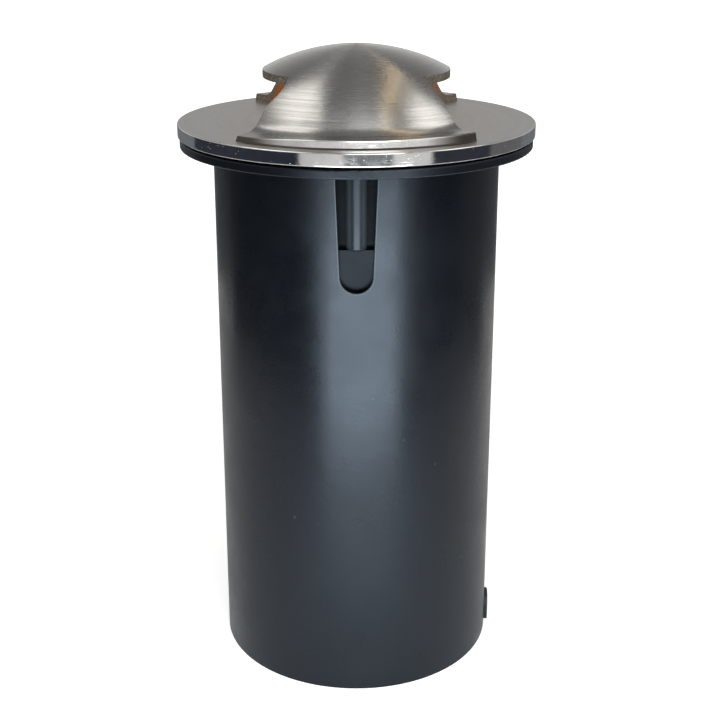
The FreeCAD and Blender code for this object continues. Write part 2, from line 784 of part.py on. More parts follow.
def window_cutter(side):
    """Sector outside the cap, between the two legs, that the window takes away."""
    half = math.radians(right_angle - leg_half_angle)
    corners = [FreeCAD.Vector(0, 0, rim_top),
               FreeCAD.Vector(side * far * math.cos(half), far * math.sin(half), rim_top),
               FreeCAD.Vector(side * far * math.cos(half), -far * math.sin(half), rim_top),
               FreeCAD.Vector(0, 0, rim_top)]
    sector = Part.Face(Part.makePolygon(corners)).extrude(FreeCAD.Vector(0, 0, cover_rise))
    return sector.cut(cylinder(window_radius, rim_top, rim_top + cover_rise))


def make_cover():
    """Two-way cover: a dome on two legs, with a window at each side."""
    dome = revolve(cover_section())
    dome = round_rims(dome, foot_edge_round, [(cover_radius, rim_top + cover_foot_thickness)])
    for side in front_and_back:
        dome = dome.cut(window_cutter(side))
    for x, y in cover_screw_places():
        dome = dome.cut(cylinder(screw_radius + screw_clearance, rim_top,
                                 rim_top + cover_screw_bite + screw_clearance, x, y))
    return dome


def make_cover_screws():
    """Four countersunk screws, driven from below through the rim into the cover's feet."""
    return [countersunk_screw(x, y, rim_bottom, rim_top + cover_screw_bite, 1, screw_radius,
                              screw_head_radius, screw_head_height)
            for x, y in cover_screw_places()]


def make_lens():
    """Toughened flat glass under the rim."""
    return cylinder(lens_radius, lens_bottom, lens_top)


def make_lens_gasket():
    """Flat rubber ring between the rim and the glass."""
    return tube(lens_radius, lens_radius - lens_gasket_width, lens_top, rim_bottom)


def make_lens_retainer():
    """Screwed ring, with two spanner slots, that holds the glass up."""
    bottom = lens_bottom - retainer_thickness
    ring = tube(retainer_radius, retainer_radius - retainer_width, bottom, lens_bottom)
    for side in front_and_back:
        x_low = min(side * retainer_radius, 0)
        x_high = max(side * retainer_radius, 0)
        ring = ring.cut(block(x_low, x_high, -retainer_slot_width / 2, retainer_slot_width / 2,
                              bottom, bottom + retainer_slot_depth))
    return ring


def make_face_seal():
    """Rubber wiper under the rim, in the shadow gap above the sleeve's flange."""
    inner = recess_radius + face_seal_clearance
    return tube(inner + face_seal_width, inner, flange_top + rubbing_clearance, rim_bottom)


def make_face_o_ring():
    """O-ring on the spigot, running in the can's bore."""
    section = (can_bore - rubbing_clearance - o_ring_floor) / 2
    return Part.makeTorus(o_ring_floor + section, section, FreeCAD.Vector(0, 0, o_ring_level))


def make_snap_ring():
    """Split ring that keeps the spigot in the can."""
    ring = tube(snap_ring_radius, spigot_radius - snap_ring_depth + groove_clearance,
                snap_ring_bottom, snap_ring_top)
    return split_ring(ring, snap_ring_gap_angle, can_radius * 2, snap_ring_bottom, snap_ring_top)


# ---------------------------------------------------------------- all pieces

pieces = {
    "sleeve": make_sleeve,
    "cable_grommet": make_cable_grommet,
    "boss_inserts": make_boss_inserts,
    "can_screws": make_can_screws,
    "lamp_can": make_lamp_can,
    "gland_body": make_gland_body,
    "gland_seal": make_gland_seal,
    "gland_nut": make_gland_nut,
    "gland_locknut": make_gland_locknut,
    "terminal_block": make_terminal_block,
    "terminal_screws": make_terminal_screws,
    "earth_screw": make_earth_screw,
    "gimbal_carrier": make_gimbal_carrier,
    "carrier_screws": make_carrier_screws,
    "gimbal_ring": make_gimbal_ring,
    "pivot_pins": make_pivot_pins,
    "lamp_clip": make_lamp_clip,
    "lamp_body": make_lamp_body,
    "lamp_capsule": make_lamp_capsule,
    "lamp_glass": make_lamp_glass,
    "lamp_pins": make_lamp_pins,
    "lampholder": make_lampholder,
    "rim": make_rim,
    "cover": make_cover,
    "cover_screws": make_cover_screws,
    "lens": make_lens,
    "lens_gasket": make_lens_gasket,
    "lens_retainer": make_lens_retainer,
    "face_seal": make_face_seal,
    "face_o_ring": make_face_o_ring,
    "snap_ring": make_snap_ring,
}


def main():
    """Builds each piece and writes it to its own file."""
    os.makedirs("parts", exist_ok=True)
    for name, make in pieces.items():
        shape = make()
        if isinstance(shape, list):
            shape = Part.makeCompound(shape)
        print(name, len(shape.Solids), shape.isValid(), round(shape.Volume, 1))
        shape.exportStep(os.path.join("parts", name + ".step"))


main()
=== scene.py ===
"""In-ground well light with a two-way brushed cover: finishes, modelled cover, light and camera.

The scene is in metres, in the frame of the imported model: the foot of the sleeve is at Z = 0 and
the front is -Y. Sizes written as constants are millimetres, and MM turns them into metres.
"""
import json
import math
import random

import bmesh
import bpy
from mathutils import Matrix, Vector


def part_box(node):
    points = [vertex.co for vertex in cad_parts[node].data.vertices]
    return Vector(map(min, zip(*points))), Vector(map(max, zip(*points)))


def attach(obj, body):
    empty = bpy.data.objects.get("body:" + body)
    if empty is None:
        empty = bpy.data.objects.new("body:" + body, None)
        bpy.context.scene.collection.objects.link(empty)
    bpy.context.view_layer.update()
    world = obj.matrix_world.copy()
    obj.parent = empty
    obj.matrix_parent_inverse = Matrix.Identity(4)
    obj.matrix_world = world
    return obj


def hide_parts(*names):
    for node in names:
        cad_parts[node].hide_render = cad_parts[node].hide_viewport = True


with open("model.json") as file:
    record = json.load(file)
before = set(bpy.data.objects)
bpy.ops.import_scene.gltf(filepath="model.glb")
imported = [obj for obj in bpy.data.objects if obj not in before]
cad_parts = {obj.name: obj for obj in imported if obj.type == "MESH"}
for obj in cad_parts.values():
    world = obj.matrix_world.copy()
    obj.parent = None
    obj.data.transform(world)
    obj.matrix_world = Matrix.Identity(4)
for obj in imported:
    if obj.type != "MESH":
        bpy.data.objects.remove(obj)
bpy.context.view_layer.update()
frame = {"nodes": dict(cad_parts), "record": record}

MM = 0.001

# ---------------------------------------------------------------- sizes read from the frame


def millimetres(node):
    """Lowest and highest corner of a node, in millimetres."""
    low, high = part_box(node)
    return [value / MM for value in low], [value / MM for value in high]


RIM_LOW, RIM_HIGH = millimetres("rim")
RIM_RADIUS, _, RIM_TOP = RIM_HIGH
RIM_BOTTOM = RIM_LOW[2]
_, COVER_RADIUS, COVER_TOP = millimetres("cover")[1]

# ---------------------------------------------------------------- camera, as the photograph

IMAGE_SIDE = 720
FOCAL_LENGTH_PX = 1268.9
PRINCIPAL_X_PX = 356.4
PRINCIPAL_Y_PX = 300.0
CAMERA_PITCH = math.radians(17.77)
CAMERA_PLACE = Vector((0.0, -390.2, 240.4)) * MM
SENSOR_MM = 36.0
CLIP_START = 0.01


def add_camera():
    """Camera at the photograph's place, pitch and framing."""
    data = bpy.data.cameras.new("camera")
    data.sensor_width = SENSOR_MM
    data.lens = FOCAL_LENGTH_PX * SENSOR_MM / IMAGE_SIDE
    half = IMAGE_SIDE / 2
    data.shift_x = (half - PRINCIPAL_X_PX) / IMAGE_SIDE
    data.shift_y = (PRINCIPAL_Y_PX - half) / IMAGE_SIDE
    data.clip_start = CLIP_START
    camera = bpy.data.objects.new("camera", data)
    camera.location = CAMERA_PLACE
    camera.rotation_euler = (math.pi / 2 - CAMERA_PITCH, 0, 0)
    bpy.context.scene.collection.objects.link(camera)
    bpy.context.scene.camera = camera


# ---------------------------------------------------------------- node helpers

# The span of a noise value that covers most of a surface.
NOISE_SPAN = (0.3, 0.7)


def new_material(name):
    """Empty node material with its Principled shader and output."""
    material = bpy.data.materials.new(name)
    material.use_nodes = True
    tree = material.node_tree
    tree.nodes.clear()
    output = tree.nodes.new("ShaderNodeOutputMaterial")
    shader = tree.nodes.new("ShaderNodeBsdfPrincipled")
    tree.links.new(shader.outputs["BSDF"], output.inputs["Surface"])
    return material, tree, shader


def add_node(tree, kind, **settings):
    """New node with some of its properties set."""
    node = tree.nodes.new(kind)
    for name, value in settings.items():
        setattr(node, name, value)
    return node


def feed(tree, value, socket):
    """Sets a socket to a number or a colour triple, or links another socket to it."""
    if isinstance(value, (int, float)):
        socket.default_value = value
    elif isinstance(value, tuple):
        socket.default_value = (*value, 1.0)
    else:
        tree.links.new(value, socket)


def math_node(tree, operation, *operands):
    """Math node; each operand is a socket or a number."""
    node = add_node(tree, "ShaderNodeMath", operation=operation)
    for operand, socket in zip(operands, node.inputs):
        feed(tree, operand, socket)
    return node.outputs[0]


def product(tree, first, *others):
    """Product of sockets and numbers."""
    for other in others:
        first = math_node(tree, "MULTIPLY", first, other)
    return first


def total(tree, first, second):
    """Sum of two sockets or numbers."""
    return math_node(tree, "ADD", first, second)


def map_range(tree, value, low, high, to_low=0.0, to_high=1.0):
    """Value moved smoothly from one range to another, clamped."""
    node = add_node(tree, "ShaderNodeMapRange", clamp=True, interpolation_type="SMOOTHSTEP")
    for name, operand in (("Value", value), ("From Min", low), ("From Max", high),
                          ("To Min", to_low), ("To Max", to_high)):
        feed(tree, operand, node.inputs[name])
    return node.outputs["Result"]


def rise(tree, value, span):
    """0 below a span in millimetres, 1 above it."""
    return map_range(tree, value, span[0] * MM, span[1] * MM)


def fall(tree, value, span):
    """1 below a span in millimetres, 0 above it."""
    return map_range(tree, value, span[0] * MM, span[1] * MM, 1.0, 0.0)


def mix_colour(tree, factor, first, second):
    """Colour mix; factor is a socket or number, colours are sockets or triples."""
    node = add_node(tree, "ShaderNodeMix", data_type="RGBA", blend_type="MIX", clamp_factor=True)
    for operand, index in ((factor, 0), (first, 6), (second, 7)):
        feed(tree, operand, node.inputs[index])
    return node.outputs[2]


def noise(tree, vector, scale, detail=3.0, roughness=0.5, distortion=0.0):
    """3-D noise value from a vector socket."""
    node = add_node(tree, "ShaderNodeTexNoise")
    for name, operand in (("Vector", vector), ("Scale", scale), ("Detail", detail),
                          ("Roughness", roughness), ("Distortion", distortion)):
        feed(tree, operand, node.inputs[name])
    return node.outputs["Fac"]


def object_place(tree):
    """Object coordinates, in metres, which are the frame's own."""
    return add_node(tree, "ShaderNodeTexCoord").outputs["Object"]


def axes_of(tree, place):
    """X, Y and Z of a place."""
    split = add_node(tree, "ShaderNodeSeparateXYZ")
    tree.links.new(place, split.inputs[0])
    return split.outputs


def length_of(tree, first, second):
    """Length of a vector from its two parts."""
    return math_node(tree, "SQRT", total(tree, product(tree, first, first),
                                         product(tree, second, second)))


def level_of(tree, place):
    """Z of the place, in metres."""
    return axes_of(tree, place)[2]


def radius_of(tree, place):
    """Distance from the Z axis, in metres."""
    x, y, _ = axes_of(tree, place)
    return length_of(tree, x, y)


def bump(tree, shader, height, distance):
    """Feeds a height to the shader's normal; distance in metres."""
    node = add_node(tree, "ShaderNodeBump")
    node.inputs["Strength"].default_value = 1.0
    node.inputs["Distance"].default_value = distance
    tree.links.new(height, node.inputs["Height"])
    tree.links.new(node.outputs["Normal"], shader.inputs["Normal"])


def new_group(name, inputs, outputs):
    """Node group; inputs are (name, default) rows, outputs are (name, kind) rows.

    A default of "vector" or "colour" makes a socket of that kind; a number makes a float.
    """
    kinds = {"vector": "NodeSocketVector", "colour": "NodeSocketColor"}
    tree = bpy.data.node_groups.new(name, "ShaderNodeTree")
    for label, default in inputs:
        socket = tree.interface.new_socket(name=label, in_out="INPUT",
                                           socket_type=kinds.get(default, "NodeSocketFloat"))
        if default not in kinds:
            socket.default_value = default
    for label, kind in outputs:
        tree.interface.new_socket(name=label, in_out="OUTPUT", socket_type=kind)
    entry = tree.nodes.new("NodeGroupInput")
    leave = tree.nodes.new("NodeGroupOutput")
    return tree, entry.outputs, leave.inputs


def place_group(tree, group, **values):
    """Group node in a material; values are numbers, triples or sockets by input name."""
    node = add_node(tree, "ShaderNodeGroup", node_tree=group)
    for name, value in values.items():
        feed(tree, value, node.inputs[name.replace("_", " ")])
    return node


# ---------------------------------------------------------------- shared effects

COARSE_PART, FINE_PART = 0.7, 0.3
SCRATCH_PATCH_SCALE = 45.0
BROAD_STREAKS = 0.22
FINE_STREAK_PART, BROAD_STREAK_PART = 0.65, 0.35


def make_mottle_group():
    """Soft uneven tone over a surface, with a second finer layer."""
    tree, entry, leave = new_group(
        "mottle",
        [("Place", "vector"), ("Colour", "colour"), ("Coarse Scale", 60.0),
         ("Fine Scale", 900.0), ("Depth", 0.15)],
        [("Colour", "NodeSocketColor"), ("Value", "NodeSocketFloat")])
    coarse = noise(tree, entry["Place"], entry["Coarse Scale"], detail=4.0, roughness=0.55)
    fine = noise(tree, entry["Place"], entry["Fine Scale"], detail=2.0, roughness=0.6)
    both = total(tree, product(tree, coarse, COARSE_PART), product(tree, fine, FINE_PART))
    swing = product(tree, math_node(tree, "SUBTRACT", both, 0.5), entry["Depth"])
    gain = total(tree, product(tree, swing, 2.0), 1.0)
    scaled = add_node(tree, "ShaderNodeVectorMath", operation="SCALE")
    tree.links.new(entry["Colour"], scaled.inputs[0])
    tree.links.new(gain, scaled.inputs["Scale"])
    tree.links.new(scaled.outputs[0], leave["Colour"])
    tree.links.new(both, leave["Value"])
    return tree


def make_specks_group():
    """Scattered small specks: 1 on a speck, 0 between."""
    tree, entry, leave = new_group(
        "specks",
        [("Place", "vector"), ("Scale", 300.0), ("Size", 0.08), ("Share", 0.1)],
        [("Mask", "NodeSocketFloat")])
    cells = add_node(tree, "ShaderNodeTexVoronoi", feature="F1")
    tree.links.new(entry["Place"], cells.inputs["Vector"])
    tree.links.new(entry["Scale"], cells.inputs["Scale"])
    near = math_node(tree, "LESS_THAN", cells.outputs["Distance"], entry["Size"])
    split = add_node(tree, "ShaderNodeSeparateColor")
    tree.links.new(cells.outputs["Color"], split.inputs[0])
    chosen = math_node(tree, "LESS_THAN", split.outputs[0], entry["Share"])
    tree.links.new(product(tree, near, chosen), leave["Mask"])
    return tree


def make_scratches_group():
    """Sparse hair-fine scratches: 1 on a scratch, 0 between."""
    tree, entry, leave = new_group(
        "scratches",
        [("Place", "vector"), ("Stretch", "vector"), ("Scale", 30.0), ("Width", 0.02),
         ("Share", 0.4)],
        [("Mask", "NodeSocketFloat")])
    stretched = add_node(tree, "ShaderNodeVectorMath", operation="MULTIPLY")
    tree.links.new(entry["Place"], stretched.inputs[0])
    tree.links.new(entry["Stretch"], stretched.inputs[1])
    wave = noise(tree, stretched.outputs[0], entry["Scale"], detail=1.0, roughness=0.4,
                 distortion=0.6)
    off_line = math_node(tree, "ABSOLUTE", math_node(tree, "SUBTRACT", wave, 0.5))
    line_mask = map_range(tree, off_line, 0.0, entry["Width"], 1.0, 0.0)
    patches = noise(tree, entry["Place"], SCRATCH_PATCH_SCALE, detail=2.0)
    cut = math_node(tree, "SUBTRACT", 1.0, entry["Share"])
    kept = map_range(tree, patches, cut, 1.0)
    tree.links.new(product(tree, line_mask, kept), leave["Mask"])
    return tree


def make_brush_rings_group():
    """Brush lines that run round the Z axis, long streaks that fade in and out."""
    tree, entry, leave = new_group(
        "brush_rings",
        [("Place", "vector"), ("Lines", 1.0), ("Streak", 1.0)],
        [("Height", "NodeSocketFloat"), ("Tone", "NodeSocketFloat")])
    x, y, z = axes_of(tree, entry["Place"])
    radius = length_of(tree, x, y)
    angle = math_node(tree, "ARCTAN2", y, x)
    across = product(tree, math_node(tree, "SUBTRACT", radius, z), entry["Lines"])
    joined = add_node(tree, "ShaderNodeCombineXYZ")
    for operation, socket in (("COSINE", joined.inputs[0]), ("SINE", joined.inputs[1])):
        sweep = product(tree, math_node(tree, operation, angle), entry["Streak"])
        tree.links.new(sweep, socket)
    tree.links.new(across, joined.inputs[2])
    fine = noise(tree, joined.outputs[0], 1.0, detail=5.0, roughness=0.75)
    broad = noise(tree, joined.outputs[0], BROAD_STREAKS, detail=2.0, roughness=0.5)
    tree.links.new(fine, leave["Height"])
    tone = total(tree, product(tree, fine, FINE_STREAK_PART),
                 product(tree, broad, BROAD_STREAK_PART))
    tree.links.new(tone, leave["Tone"])
    return tree


MOTTLE = make_mottle_group()
SPECKS = make_specks_group()
SCRATCHES = make_scratches_group()
BRUSH_RINGS = make_brush_rings_group()

# ---------------------------------------------------------------- screw pockets of the sleeve

BOSS_SIDE = 3.0
BOSS_BOTTOM = 143.5
POCKET_LOW = 131.3
POCKET_TURN = 136.1
POCKET_LOW_HALF = 4.8
POCKET_SIDE = 5.9
POCKET_FLARE = 0.0399
POCKET_SKIN = 43.9
POCKET_DEEP = 38.5
FLANGE_LOW = 166.7
LOWER_FLOOR_SHADE = 0.8

# Spans over which each mask sets in or dies away.
SHADE_ABOVE = (BOSS_BOTTOM - 0.2, BOSS_BOTTOM + 2.4)
SHADE_BESIDE = (BOSS_SIDE - 0.1, BOSS_SIDE + 0.05)
BOSS_EDGE = (BOSS_SIDE, BOSS_SIDE + 0.1)
BOSS_FOOT = (BOSS_BOTTOM, BOSS_BOTTOM + 0.3)
BELOW_SKIN = (POCKET_SKIN - 0.8, POCKET_SKIN)
BEFORE_DEEP = (POCKET_DEEP - 0.6, POCKET_DEEP - 0.4)
WITHIN_SIDES = (POCKET_SIDE - 0.1, POCKET_SIDE)
POCKET_END = (POCKET_LOW - 0.2, POCKET_LOW)
LIP_MIDDLE = 0.15
LIP_WIDTH = (0.12, 0.4)
LIP_ON_SKIN = (POCKET_SKIN - 0.3, POCKET_SKIN - 0.1)
LIP_BELOW_FLANGE = (FLANGE_LOW - 0.5, FLANGE_LOW)


def pocket_shade(tree, place):
    """Painted shade in the screw pockets: 1 beside the boss, less on the floor below it, 0
    elsewhere.
    """
    x, _, z = axes_of(tree, place)
    across = math_node(tree, "ABSOLUTE", x)
    radius = radius_of(tree, place)
    above = rise(tree, z, SHADE_ABOVE)
    beside = product(tree, above, rise(tree, across, SHADE_BESIDE))
    below = product(tree, math_node(tree, "SUBTRACT", 1.0, above), LOWER_FLOOR_SHADE)
    return product(tree, fall(tree, radius, BELOW_SKIN), rise(tree, radius, BEFORE_DEEP),
                   fall(tree, across, WITHIN_SIDES), rise(tree, z, POCKET_END),
                   total(tree, beside, below))


def boss_column(tree, place):
    """1 on the screw boss in the pockets, 0 elsewhere."""
    x, _, z = axes_of(tree, place)
    across = math_node(tree, "ABSOLUTE", x)
    return product(tree, fall(tree, across, BOSS_EDGE), rise(tree, z, BOSS_FOOT),
                   fall(tree, radius_of(tree, place), BELOW_SKIN))


def pocket_lip_highlight(tree, place):
    """1 on the rounded lip of the screw pockets, which gets a painted highlight, and 0 elsewhere.
    """
    x, _, z = axes_of(tree, place)
    over_turn = math_node(tree, "SUBTRACT", z, POCKET_TURN * MM)
    flare = product(tree, math_node(tree, "MAXIMUM", over_turn, 0.0), POCKET_FLARE)
    half = math_node(tree, "MINIMUM", total(tree, flare, POCKET_LOW_HALF * MM),
                     POCKET_SIDE * MM)
    reach = length_of(tree, x, math_node(tree, "MINIMUM", over_turn, 0.0))
    past_side = math_node(tree, "SUBTRACT", reach, half)
    off = math_node(tree, "ABSOLUTE", math_node(tree, "SUBTRACT", past_side, LIP_MIDDLE * MM))
    return product(tree, fall(tree, off, LIP_WIDTH),
                   rise(tree, radius_of(tree, place), LIP_ON_SKIN),
                   fall(tree, z, LIP_BELOW_FLANGE))


# ---------------------------------------------------------------- finishes

def sleeve_plastic():
    """Semi-gloss blue-black moulded plastic with handling scratches and dust specks, and painted
    shade and highlights in the screw pockets.
    """
    material, tree, shader = new_material("sleeve_plastic")
    place = object_place(tree)
    tone = place_group(tree, MOTTLE, Place=place, Colour=(0.0034, 0.0044, 0.0062),
                       Coarse_Scale=22.0, Fine_Scale=420.0, Depth=0.22)
    rubs = place_group(tree, SCRATCHES, Place=place, Scale=26.0, Width=0.006, Share=0.5)
    rubs.inputs["Stretch"].default_value = (3.0, 3.0, 1.2)
    specks = place_group(tree, SPECKS, Place=place, Scale=210.0, Size=0.09, Share=0.035)
    marks = math_node(tree, "MAXIMUM", product(tree, rubs.outputs["Mask"], 0.16),
                      product(tree, specks.outputs["Mask"], 0.35))
    shade = pocket_shade(tree, place)
    boss = boss_column(tree, place)
    colour = mix_colour(tree, marks, tone.outputs["Colour"], (0.06, 0.062, 0.066))
    # painted highlight along the rounded lip of the pockets
    colour = mix_colour(tree, product(tree, pocket_lip_highlight(tree, place), 0.5), colour,
                        (0.11, 0.13, 0.14))
    # painted shade: the pocket beside and below the boss is darkened and made metallic
    colour = mix_colour(tree, shade, colour, (0.004, 0.0045, 0.005))
    # painted highlight: the boss is made paler to stand in for its broad lit face
    colour = mix_colour(tree, product(tree, boss, 0.75), colour, (0.042, 0.052, 0.058))
    tree.links.new(colour, shader.inputs["Base Color"])
    tree.links.new(shade, shader.inputs["Metallic"])
    smudge = noise(tree, place, 38.0, detail=4.0, roughness=0.6)
    rough = total(tree, map_range(tree, smudge, *NOISE_SPAN, 0.24, 0.36),
                  product(tree, marks, 0.1))
    tree.links.new(total(tree, rough, product(tree, boss, 0.24)), shader.inputs["Roughness"])
    grain = noise(tree, place, 1500.0, detail=2.0, roughness=0.5)
    waves = noise(tree, place, 70.0, detail=2.0, roughness=0.5)
    bump(tree, shader, total(tree, product(tree, grain, 0.25), waves), distance=0.00008)
    shader.inputs["IOR"].default_value = 1.5
    shader.inputs["Specular Tint"].default_value = (0.77, 0.84, 0.96, 1.0)
    return material


def black_rubber():
    """Matt black rubber with a dusty bloom."""
    material, tree, shader = new_material("black_rubber")
    place = object_place(tree)
    tone = place_group(tree, MOTTLE, Place=place, Colour=(0.009, 0.009, 0.01),
                       Coarse_Scale=160.0, Fine_Scale=1500.0, Depth=0.4)
    dust = place_group(tree, SPECKS, Place=place, Scale=900.0, Size=0.12, Share=0.06)
    colour = mix_colour(tree, product(tree, dust.outputs["Mask"], 0.4),
                        tone.outputs["Colour"], (0.06, 0.058, 0.055))
    tree.links.new(colour, shader.inputs["Base Color"])
    tree.links.new(map_range(tree, tone.outputs["Value"], *NOISE_SPAN, 0.55, 0.72),
                   shader.inputs["Roughness"])
    bump(tree, shader, noise(tree, place, 2600.0, detail=3.0, roughness=0.6), distance=0.00006)
    return material


def plain_finish(name, colour, scales, depth, rough, metal, grain):
    """Moulded, cast, mirrored or fired surface of uneven tone, with a fine grain or none.

    scales are of the coarse and fine tone, rough is the lowest and highest roughness, and grain
    is scale, detail and roughness of the noise and its height in metres.
    """
    material, tree, shader = new_material(name)
    place = object_place(tree)
    tone = place_group(tree, MOTTLE, Place=place, Colour=colour, Coarse_Scale=scales[0],
                       Fine_Scale=scales[1], Depth=depth)
    tree.links.new(tone.outputs["Colour"], shader.inputs["Base Color"])
    tree.links.new(map_range(tree, tone.outputs["Value"], *NOISE_SPAN, *rough),
                   shader.inputs["Roughness"])
    shader.inputs["Metallic"].default_value = metal
    if grain:
        bump(tree, shader, noise(tree, place, *grain[:3]), grain[3])
    return material


def turned_metal(name, colour, rough_low, rough_high, lines):
    """Turned or drawn metal with rings round the Z axis and a little tarnish."""
    material, tree, shader = new_material(name)
    place = object_place(tree)
    rings = place_group(tree, BRUSH_RINGS, Place=place, Lines=lines, Streak=4.0)
    tone = place_group(tree, MOTTLE, Place=place, Colour=colour, Coarse_Scale=200.0,
                       Fine_Scale=1600.0, Depth=0.18)
    dull = mix_colour(tree, map_range(tree, rings.outputs["Tone"], 0.35, 0.7, 0.0, 0.35),
                      tone.outputs["Colour"], tuple(part * 0.55 for part in colour))
    tree.links.new(dull, shader.inputs["Base Color"])
    tree.links.new(map_range(tree, rings.outputs["Tone"], *NOISE_SPAN, rough_low, rough_high),
                   shader.inputs["Roughness"])
    shader.inputs["Metallic"].default_value = 1.0
    bump(tree, shader, rings.outputs["Height"], distance=0.00002)
    return material


def clear_glass():
    """Clear toughened glass with a trace of dust."""
    material, tree, shader = new_material("clear_glass")
    place = object_place(tree)
    tone = place_group(tree, MOTTLE, Place=place, Colour=(0.9, 0.95, 0.93),
                       Coarse_Scale=50.0, Fine_Scale=800.0, Depth=0.03)
    tree.links.new(tone.outputs["Colour"], shader.inputs["Base Color"])
    shader.inputs["Transmission Weight"].default_value = 1.0
    shader.inputs["IOR"].default_value = 1.5
    dust = noise(tree, place, 160.0, detail=3.0, roughness=0.6)
    tree.links.new(map_range(tree, dust, 0.45, 0.8, 0.02, 0.16), shader.inputs["Roughness"])
    return material


def reflector_glass():
    """Faceted mirror coating of the lamp's reflector."""
    material, tree, shader = new_material("reflector_glass")
    place = object_place(tree)
    tone = place_group(tree, MOTTLE, Place=place, Colour=(0.8, 0.8, 0.82),
                       Coarse_Scale=90.0, Fine_Scale=700.0, Depth=0.08)
    tree.links.new(tone.outputs["Colour"], shader.inputs["Base Color"])
    shader.inputs["Metallic"].default_value = 1.0
    tree.links.new(map_range(tree, tone.outputs["Value"], *NOISE_SPAN, 0.06, 0.14),
                   shader.inputs["Roughness"])
    facets = add_node(tree, "ShaderNodeTexVoronoi", feature="F1")
    facets.inputs["Scale"].default_value = 420.0
    tree.links.new(place, facets.inputs["Vector"])
    bump(tree, shader, facets.outputs["Distance"], distance=0.0004)
    return material


# Spans of radius and height over which the cover's and the rim's finishes change.
RIM_EDGE = (RIM_RADIUS - 0.35, RIM_RADIUS - 0.05)
# RIM_LOW_ROUND and RIM_UNDER_SHADE place painted shade on the rim's lower rounded edge.
RIM_LOW_ROUND = (RIM_BOTTOM, RIM_BOTTOM + 0.7)
RIM_UNDER_SHADE = 0.95
FOOT_DULL = (11.0, 18.0)
FOOT_DARK_ENDS = (18.0, 30.0)
# Painted warm light: amber on the leg cuts below the cap, fading outward, and amber to straw
# inside the cover.
PAINTED_AMBER_BELOW_CAP = (RIM_TOP + 12.0, RIM_TOP + 14.0)
PAINTED_AMBER_INWARD = (34.0, 46.0)
PAINTED_AMBER_OUTER_SHARE = 0.1
PAINTED_AMBER_SHARE = 0.85
PAINTED_AMBER_TO_STRAW = (RIM_TOP + 2.0, RIM_TOP + 15.0)


def rim_steel():
    """Satin top and polished edge of the rim, parted by height and radius, with painted shade on
    the lower rounded edge.
    """
    material, tree, shader = new_material("rim_steel")
    place = object_place(tree)
    rings = place_group(tree, BRUSH_RINGS, Place=place, Lines=2600.0, Streak=3.0)
    tone = place_group(tree, MOTTLE, Place=place, Colour=(0.48, 0.474, 0.46),
                       Coarse_Scale=30.0, Fine_Scale=700.0, Depth=0.06)
    bright = place_group(tree, MOTTLE, Place=place, Colour=(0.8, 0.79, 0.78),
                         Coarse_Scale=45.0, Fine_Scale=500.0, Depth=0.35)
    nicks = place_group(tree, SPECKS, Place=place, Scale=1500.0, Size=0.24, Share=0.07)
    nicked = mix_colour(tree, nicks.outputs["Mask"], bright.outputs["Colour"],
                        (0.78, 0.77, 0.75))
    edge = rise(tree, radius_of(tree, place), RIM_EDGE)
    colour = mix_colour(tree, edge, tone.outputs["Colour"], nicked)
    # painted shade: the lower rounded edge is darkened to dim its reflection
    low_round_shade = map_range(tree, level_of(tree, place), RIM_LOW_ROUND[0] * MM,
                          RIM_LOW_ROUND[1] * MM, RIM_UNDER_SHADE, 0.0)
    colour = mix_colour(tree, low_round_shade, colour, (0.12, 0.12, 0.12))
    tree.links.new(colour, shader.inputs["Base Color"])
    shader.inputs["Metallic"].default_value = 1.0
    satin = map_range(tree, rings.outputs["Tone"], *NOISE_SPAN, 0.34, 0.46)
    polished = total(tree, map_range(tree, bright.outputs["Value"], 0.42, 0.66, 0.05, 0.17),
                     product(tree, nicks.outputs["Mask"], 0.5))
    rough = add_node(tree, "ShaderNodeMix", data_type="FLOAT")
    for operand, index in ((edge, 0), (satin, 2), (polished, 3)):
        tree.links.new(operand, rough.inputs[index])
    tree.links.new(rough.outputs[0], shader.inputs["Roughness"])
    bump(tree, shader, rings.outputs["Height"], distance=0.00001)
    return material


def cover_steel():
    """Steel brushed round the dome, with fine uneven streaks and a few pits."""
    material, tree, shader = new_material("cover_steel")
    place = object_place(tree)
    rings = place_group(tree, BRUSH_RINGS, Place=place, Lines=5200.0, Streak=3.5)
    tone = place_group(tree, MOTTLE, Place=place, Colour=(0.44, 0.434, 0.42),
                       Coarse_Scale=40.0, Fine_Scale=500.0, Depth=0.08)
    streaks = map_range(tree, rings.outputs["Tone"], 0.34, 0.68)
    colour = mix_colour(tree, product(tree, streaks, 0.38), tone.outputs["Colour"],
                        (0.25, 0.243, 0.23))
    pits = place_group(tree, SPECKS, Place=place, Scale=300.0, Size=0.1, Share=0.015)
    colour = mix_colour(tree, product(tree, pits.outputs["Mask"], 0.5), colour,
                        (0.14, 0.13, 0.12))
    tree.links.new(colour, shader.inputs["Base Color"])
    shader.inputs["Metallic"].default_value = 1.0
    shader.inputs["Anisotropic"].default_value = 0.93
    shader.inputs["Anisotropic Rotation"].default_value = 0.25
    tangent = add_node(tree, "ShaderNodeTangent", direction_type="RADIAL", axis="Z")
    tree.links.new(tangent.outputs[0], shader.inputs["Tangent"])
    tree.links.new(map_range(tree, streaks, 0.0, 1.0, 0.2, 0.28), shader.inputs["Roughness"])
    bump(tree, shader, rings.outputs["Height"], distance=0.000011)
    return material


